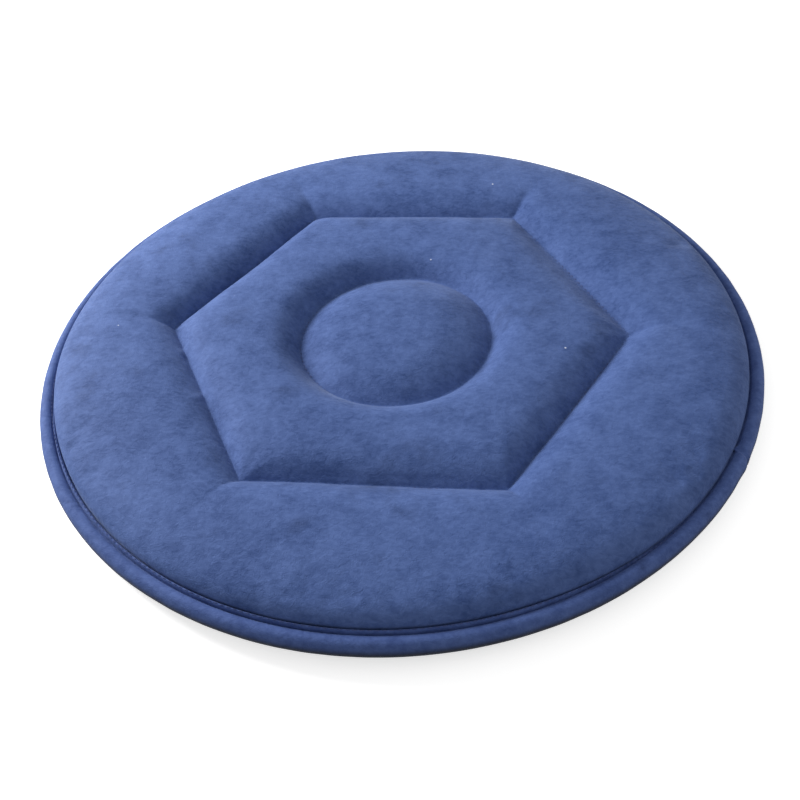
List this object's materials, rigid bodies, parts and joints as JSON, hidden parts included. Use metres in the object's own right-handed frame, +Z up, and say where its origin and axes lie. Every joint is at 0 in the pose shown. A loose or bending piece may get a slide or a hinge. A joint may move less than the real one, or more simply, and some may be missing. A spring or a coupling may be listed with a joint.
{
  "type": "swivel seat cushion",
  "caption": "Round padded swivel seat cushion: a velour disc with a sewn hexagon and centre circle and a rolled edge, turning on a ball race over a non-slip base.",
  "frame": {"origin": "centre of the base mat's underside, on the surface the cushion rests on", "axes": "+Z up along the swivel axis; +X through one corner of the sewn hexagon"},
  "size_m": [0.4, 0.4, 0.024],
  "materials": {
    "velour": "short-pile velour, soft sheen, mottled by the lie of the pile",
    "binding_velour": "short-pile velour rolled over a cord, a little smoother and darker than the top",
    "thread": "twisted polyester sewing thread",
    "underside_fabric": "plain woven polyester, matte",
    "elastic": "braided elastic",
    "backing_felt": "white nonwoven sheet, matte",
    "wadding": "white polyester wadding, matte",
    "pad_foam": "open-cell polyurethane foam, matte",
    "filler_cord": "loose twisted cotton filler cord",
    "turntable_plastic": "moulded polypropylene, fine grain",
    "cage_nylon": "natural nylon, satin",
    "rivet_steel": "zinc-plated steel, satin",
    "ball_steel": "polished bearing steel",
    "base_rubber": "black rubber with small grip studs, matte"
  },
  "bodies": {
    "base": {"antislip_base_mat": "base_rubber", "lower_turntable_disc": "turntable_plastic", "pivot_rivet": "rivet_steel", "pivot_spacer_washer": "cage_nylon"},
    "turntable": {"upper_turntable_disc": "turntable_plastic", "pad_backing": "backing_felt", "foam_pad": "pad_foam", "wadding_layer": "wadding", "cover_top_panel": "velour", "edge_binding": "binding_velour", "edge_filler_cord": "filler_cord", "cover_underside_skirt": "underside_fabric", "hem_elastic": "elastic", "hexagon_stitching": "thread", "circle_stitching": "thread", "rim_topstitching": "thread"},
    "ball_cage": {"ball_cage": "cage_nylon", "bearing_ball_01": "ball_steel", "bearing_ball_02": "ball_steel", "bearing_ball_03": "ball_steel", "bearing_ball_04": "ball_steel", "bearing_ball_05": "ball_steel", "bearing_ball_06": "ball_steel", "bearing_ball_07": "ball_steel", "bearing_ball_08": "ball_steel", "bearing_ball_09": "ball_steel", "bearing_ball_10": "ball_steel", "bearing_ball_11": "ball_steel", "bearing_ball_12": "ball_steel", "bearing_ball_13": "ball_steel", "bearing_ball_14": "ball_steel", "bearing_ball_15": "ball_steel", "bearing_ball_16": "ball_steel", "bearing_ball_17": "ball_steel", "bearing_ball_18": "ball_steel"}
  },
  "joints": [
    {"name": "swivel", "type": "hinge", "parent": "base", "child": "turntable", "pos_m": [0, 0, 0.0069], "axis": [0, 0, 1], "continuous": true},
    {"name": "cage_swivel", "type": "hinge", "parent": "base", "child": "ball_cage", "pos_m": [0, 0, 0.0056], "axis": [0, 0, 1], "continuous": true}
  ],
  "couplings": [
    {"joint": "cage_swivel", "follows": "swivel", "ratio": 0.5}
  ]
}
